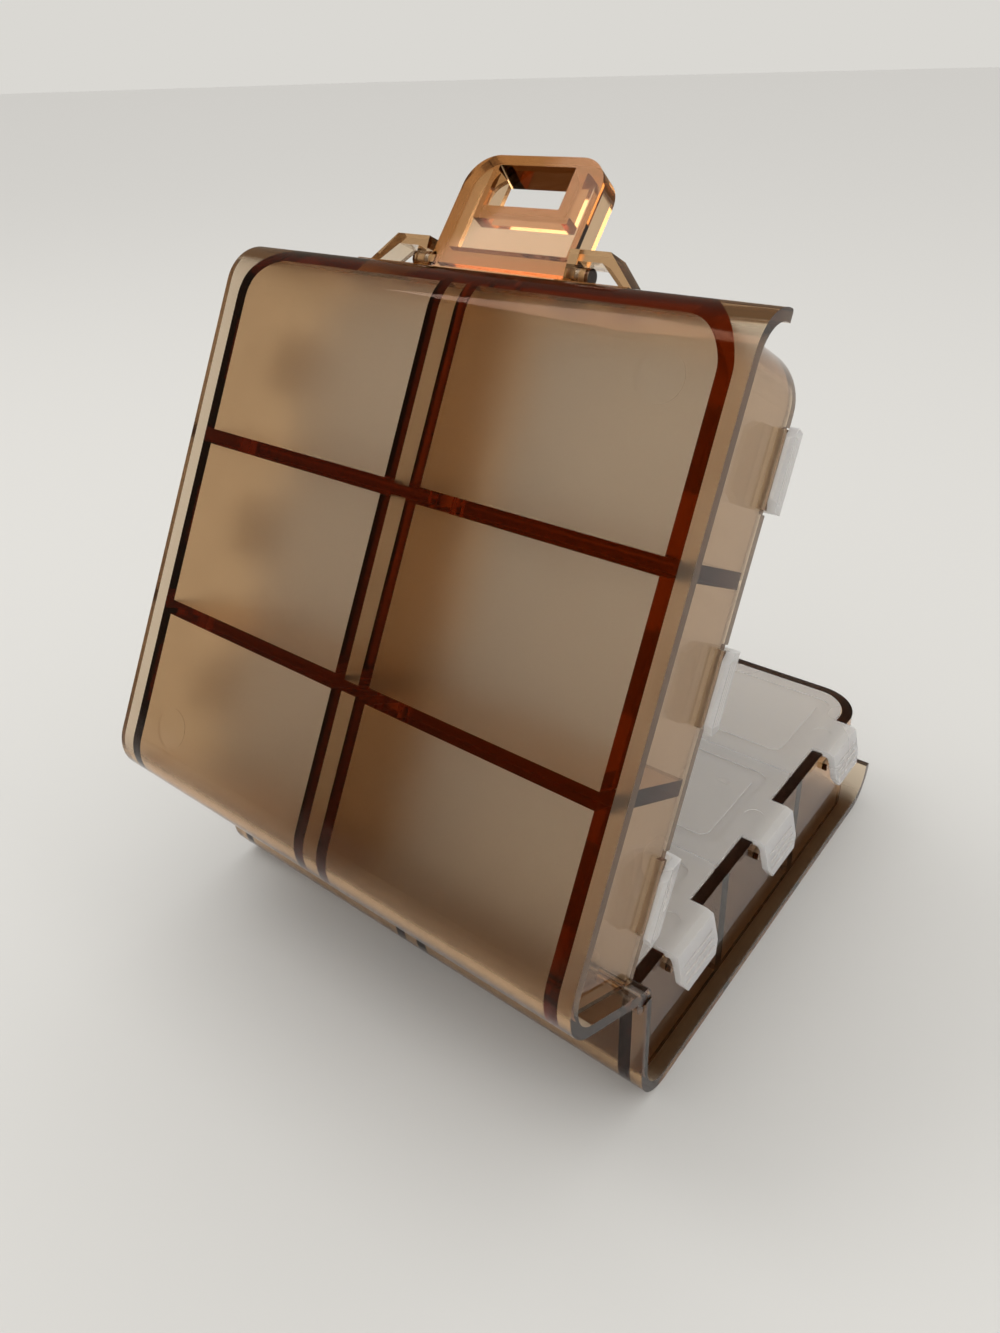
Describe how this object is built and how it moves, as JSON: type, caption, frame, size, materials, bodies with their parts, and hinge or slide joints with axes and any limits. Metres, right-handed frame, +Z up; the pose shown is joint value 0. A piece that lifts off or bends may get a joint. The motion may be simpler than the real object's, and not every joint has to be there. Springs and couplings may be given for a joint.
{
  "type": "compartment storage box",
  "caption": "Flat two-sided storage box that opens like a book, with lidded compartments in both halves and a flip latch.",
  "frame": {"origin": "middle of the lying half's flat underside", "axes": "+X along the case hinge, +Y from the case hinge to the catch side of the lying half, +Z up"},
  "size_m": [0.1024, 0.1217, 0.1378],
  "materials": {
    "amber_polystyrene": "clear tinted, polished mould",
    "natural_polypropylene": "milky, lightly frosted",
    "dark_pin_plastic": "polished"
  },
  "bodies": {
    "lower_case": {"lower_shell": "amber_polystyrene", "hinge_pin_left": "dark_pin_plastic", "hinge_pin_right": "dark_pin_plastic"},
    "upper_case": {"upper_shell": "amber_polystyrene"},
    "latch": {"latch": "amber_polystyrene"},
    "lower_lid_left_near": {"lower_lid_left_near": "natural_polypropylene"},
    "lower_lid_left_middle": {"lower_lid_left_middle": "natural_polypropylene"},
    "lower_lid_left_far": {"lower_lid_left_far": "natural_polypropylene"},
    "lower_lid_right_near": {"lower_lid_right_near": "natural_polypropylene"},
    "lower_lid_right_middle": {"lower_lid_right_middle": "natural_polypropylene"},
    "lower_lid_right_far": {"lower_lid_right_far": "natural_polypropylene"},
    "upper_lid_left_near": {"upper_lid_left_near": "natural_polypropylene"},
    "upper_lid_left_middle": {"upper_lid_left_middle": "natural_polypropylene"},
    "upper_lid_left_far": {"upper_lid_left_far": "natural_polypropylene"},
    "upper_lid_right_near": {"upper_lid_right_near": "natural_polypropylene"},
    "upper_lid_right_middle": {"upper_lid_right_middle": "natural_polypropylene"},
    "upper_lid_right_far": {"upper_lid_right_far": "natural_polypropylene"}
  },
  "joints": [
    {"name": "case_hinge", "type": "hinge", "parent": "lower_case", "child": "upper_case", "pos_m": [0, -0.04985, 0.0253], "axis": [1, 0, 0], "range_deg": [-63.34, 116.66]},
    {"name": "lower_lid_left_near_hinge", "type": "hinge", "parent": "lower_case", "child": "lower_lid_left_near", "pos_m": [-0.0026, -0.0332, 0.02415], "axis": [0, 1, 0], "range_deg": [0, 6.5]},
    {"name": "lower_lid_left_middle_hinge", "type": "hinge", "parent": "lower_case", "child": "lower_lid_left_middle", "pos_m": [-0.0026, -0.00149, 0.02415], "axis": [0, 1, 0], "range_deg": [0, 90]},
    {"name": "lower_lid_left_far_hinge", "type": "hinge", "parent": "lower_case", "child": "lower_lid_left_far", "pos_m": [-0.0026, 0.03066, 0.02415], "axis": [0, 1, 0], "range_deg": [0, 90]},
    {"name": "lower_lid_right_near_hinge", "type": "hinge", "parent": "lower_case", "child": "lower_lid_right_near", "pos_m": [0.0026, -0.0332, 0.02415], "axis": [0, -1, 0], "range_deg": [0, 6.5]},
    {"name": "lower_lid_right_middle_hinge", "type": "hinge", "parent": "lower_case", "child": "lower_lid_right_middle", "pos_m": [0.0026, -0.00149, 0.02415], "axis": [0, -1, 0], "range_deg": [0, 90]},
    {"name": "lower_lid_right_far_hinge", "type": "hinge", "parent": "lower_case", "child": "lower_lid_right_far", "pos_m": [0.0026, 0.03066, 0.02415], "axis": [0, -1, 0], "range_deg": [0, 90]},
    {"name": "upper_lid_left_near_hinge", "type": "hinge", "parent": "upper_case", "child": "upper_lid_left_near", "pos_m": [-0.0026, -0.04341, 0.0407], "axis": [0, -0.4487, -0.8937], "range_deg": [0, 6.5]},
    {"name": "upper_lid_left_middle_hinge", "type": "hinge", "parent": "upper_case", "child": "upper_lid_left_middle", "pos_m": [-0.0026, -0.02918, 0.06903], "axis": [0, -0.4487, -0.8937], "range_deg": [0, 90]},
    {"name": "upper_lid_left_far_hinge", "type": "hinge", "parent": "upper_case", "child": "upper_lid_left_far", "pos_m": [-0.0026, -0.01476, 0.09776], "axis": [0, -0.4487, -0.8937], "range_deg": [0, 90]},
    {"name": "upper_lid_right_near_hinge", "type": "hinge", "parent": "upper_case", "child": "upper_lid_right_near", "pos_m": [0.0026, -0.04341, 0.0407], "axis": [0, 0.4487, 0.8937], "range_deg": [0, 6.5]},
    {"name": "upper_lid_right_middle_hinge", "type": "hinge", "parent": "upper_case", "child": "upper_lid_right_middle", "pos_m": [0.0026, -0.02918, 0.06903], "axis": [0, 0.4487, 0.8937], "range_deg": [0, 90]},
    {"name": "upper_lid_right_far_hinge", "type": "hinge", "parent": "upper_case", "child": "upper_lid_right_far", "pos_m": [0.0026, -0.01476, 0.09776], "axis": [0, 0.4487, 0.8937], "range_deg": [0, 90]},
    {"name": "latch_hinge", "type": "hinge", "parent": "upper_case", "child": "latch", "pos_m": [0, -0.0172, 0.12243], "axis": [1, 0, 0], "range_deg": [-76.1, 90]}
  ]
}
